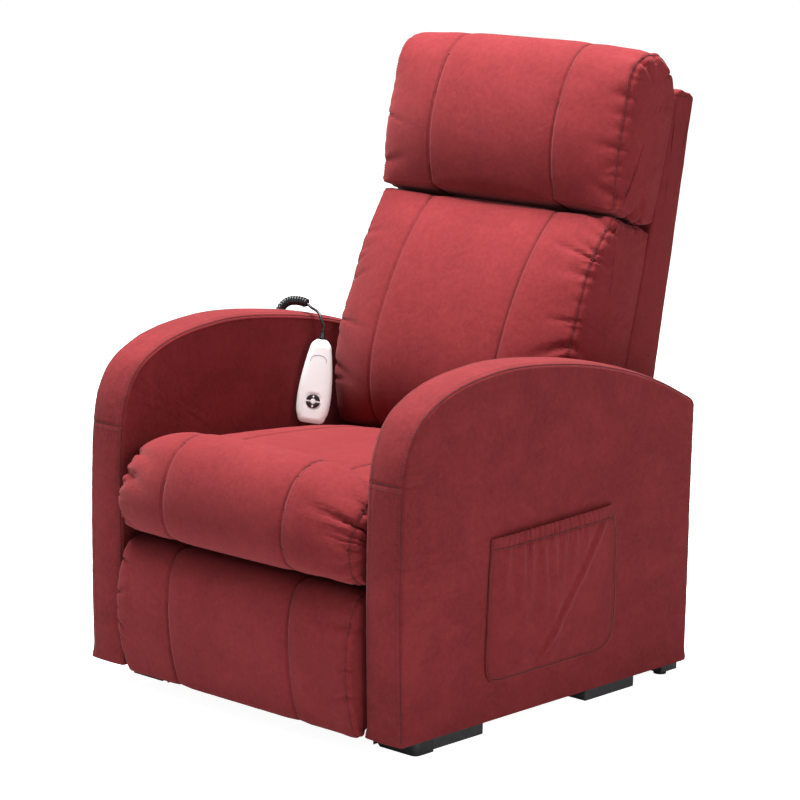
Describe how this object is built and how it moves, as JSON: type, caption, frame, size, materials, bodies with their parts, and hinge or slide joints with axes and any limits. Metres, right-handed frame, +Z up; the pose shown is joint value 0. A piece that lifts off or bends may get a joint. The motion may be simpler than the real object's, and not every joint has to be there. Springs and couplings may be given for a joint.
{
  "type": "lift recliner chair",
  "caption": "Upholstered lift recliner armchair on a steel lift base, with a fold-out footrest, reclining back, side pocket and corded handset.",
  "frame": {"origin": "on the floor under the centre of the bounding box, chair down and closed", "axes": "+X towards the arm with the pocket (the sitter's left), -Y is the front, +Z up"},
  "size_m": [0.7123, 0.8534, 1.065],
  "materials": {
    "base_paint": "satin black powder coat",
    "foot_plastic": "dark satin moulded plastic",
    "glide_rubber": "dark rubber",
    "zinc": "zinc plated",
    "link_paint": "satin dark enamel",
    "spring_steel": "drawn wire",
    "timber": "bare plywood",
    "suede": "brushed burgundy microfibre suede",
    "webbing": "woven elastic webbing",
    "white_shell": "white gloss",
    "dark_plastic": "dark matt",
    "cord_jacket": "dark cord jacket",
    "circuit": "green board",
    "alloy": "satin aluminium",
    "rod_chrome": "polished"
  },
  "bodies": {
    "base": {"base_frame": "base_paint", "front_feet": "foot_plastic", "side_feet": "foot_plastic", "rear_feet": "foot_plastic", "foot_glides": "glide_rubber", "lift_base_pins": "zinc", "power_supply": "dark_plastic", "control_box": "dark_plastic", "box_lids": "dark_plastic", "actuator_pin": "zinc"},
    "main_links": {"lift_main_links": "link_paint", "lift_torque_tube": "link_paint"},
    "front_links": {"lift_front_links": "link_paint"},
    "chassis": {"lift_frame": "link_paint", "lift_hanger_pins": "zinc", "front_seat_rail": "timber", "rear_seat_rail": "timber", "seat_springs": "spring_steel", "spring_clips": "zinc", "right_arm_frame": "timber", "left_arm_frame": "timber", "right_arm_cover": "suede", "left_arm_cover": "suede", "arm_bolts": "zinc", "seat_cushion": "suede", "rear_skirt": "suede", "side_pocket": "suede", "handset_front": "white_shell", "handset_back": "white_shell", "handset_board": "circuit", "handset_cord": "cord_jacket", "recline_pins": "zinc", "footrest_rivets": "zinc"},
    "backrest": {"back_frame": "timber", "back_brackets": "zinc", "back_webbing": "webbing", "back_shell": "suede", "back_cushion": "suede", "head_cushion": "suede"},
    "upper_links": {"footrest_upper_links": "link_paint", "upper_link_rivets": "zinc"},
    "drive_links": {"footrest_drive_links": "link_paint", "drive_link_rivets": "zinc"},
    "lower_links": {"footrest_lower_links": "link_paint"},
    "stay_links": {"footrest_stay_links": "link_paint"},
    "footrest": {"footrest_brackets": "link_paint", "bracket_rivets": "zinc", "footrest_board": "timber", "footrest_pad": "suede"},
    "actuator": {"actuator_housing": "dark_plastic", "actuator_motor": "dark_plastic", "actuator_tube": "alloy"},
    "actuator_rod": {"actuator_rod": "rod_chrome"},
    "lead_screw": {"lead_screw": "rod_chrome"},
    "up_button": {"button_up": "dark_plastic"},
    "down_button": {"button_down": "dark_plastic"}
  },
  "joints": [
    {"name": "lift", "type": "hinge", "parent": "base", "child": "main_links", "pos_m": [0, -0.155, 0.1], "axis": [1, 0, 0], "range_deg": [0, 60]},
    {"name": "lift_tilt", "type": "hinge", "parent": "main_links", "child": "chassis", "pos_m": [0, 0.26, 0.092], "axis": [1, 0, 0], "range_deg": [-36.2, 0.2]},
    {"name": "front_link_swing", "type": "hinge", "parent": "base", "child": "front_links", "pos_m": [0, -0.24, 0.096], "axis": [1, 0, 0], "range_deg": [-0.5, 68.5]},
    {"name": "recline", "type": "hinge", "parent": "chassis", "child": "backrest", "pos_m": [0, 0.175, 0.285], "axis": [-1, 0, 0], "range_deg": [0, 38]},
    {"name": "footrest_extend", "type": "hinge", "parent": "chassis", "child": "upper_links", "pos_m": [0, -0.188, 0.258], "axis": [-1, 0, 0], "range_deg": [0, 88.5]},
    {"name": "drive_link_swing", "type": "hinge", "parent": "chassis", "child": "drive_links", "pos_m": [0, -0.2169, 0.1999], "axis": [-1, 0, 0], "range_deg": [-0.5, 93]},
    {"name": "lower_link_swing", "type": "hinge", "parent": "upper_links", "child": "lower_links", "pos_m": [0, -0.148, 0.104], "axis": [1, 0, 0], "range_deg": [-0.5, 99]},
    {"name": "stay_link_swing", "type": "hinge", "parent": "upper_links", "child": "stay_links", "pos_m": [0, -0.1392, 0.0701], "axis": [1, 0, 0], "range_deg": [-0.5, 99]},
    {"name": "footrest_level", "type": "hinge", "parent": "lower_links", "child": "footrest", "pos_m": [0, -0.312, 0.216], "axis": [-1, 0, 0], "range_deg": [-0.5, 92]},
    {"name": "actuator_swing", "type": "hinge", "parent": "base", "child": "actuator", "pos_m": [0, -0.27, 0.08], "axis": [1, 0, 0], "range_deg": [-0.5, 60]},
    {"name": "actuator_stroke", "type": "slide", "parent": "actuator", "child": "actuator_rod", "axis": [0, 0.8825, 0.4704], "range_m": [-0.0005, 0.0925]},
    {"name": "screw_spin", "type": "hinge", "parent": "actuator", "child": "lead_screw", "pos_m": [0, -0.27, 0.08], "axis": [0, 0.8825, 0.4704], "range_deg": [-5, 7400]},
    {"name": "up_button_press", "type": "slide", "parent": "chassis", "child": "up_button", "axis": [-0.6216, 0.7764, -0.1039], "range_m": [0, 0.0015]},
    {"name": "down_button_press", "type": "slide", "parent": "chassis", "child": "down_button", "axis": [-0.6216, 0.7764, -0.1039], "range_m": [0, 0.0015]}
  ],
  "couplings": [
    {"joint": "lift_tilt", "follows": "lift", "ratio": -0.6},
    {"joint": "front_link_swing", "follows": "lift", "ratio": 1.1322},
    {"joint": "actuator_swing", "follows": "lift", "ratio": 0.9834},
    {"joint": "actuator_stroke", "follows": "lift", "m_per_rad": 0.087271},
    {"joint": "screw_spin", "follows": "lift", "ratio": 123},
    {"joint": "drive_link_swing", "follows": "footrest_extend", "ratio": 1.0415},
    {"joint": "lower_link_swing", "follows": "footrest_extend", "ratio": 1.1096},
    {"joint": "stay_link_swing", "follows": "footrest_extend", "ratio": 1.1099},
    {"joint": "footrest_level", "follows": "footrest_extend", "ratio": 1.0294}
  ]
}
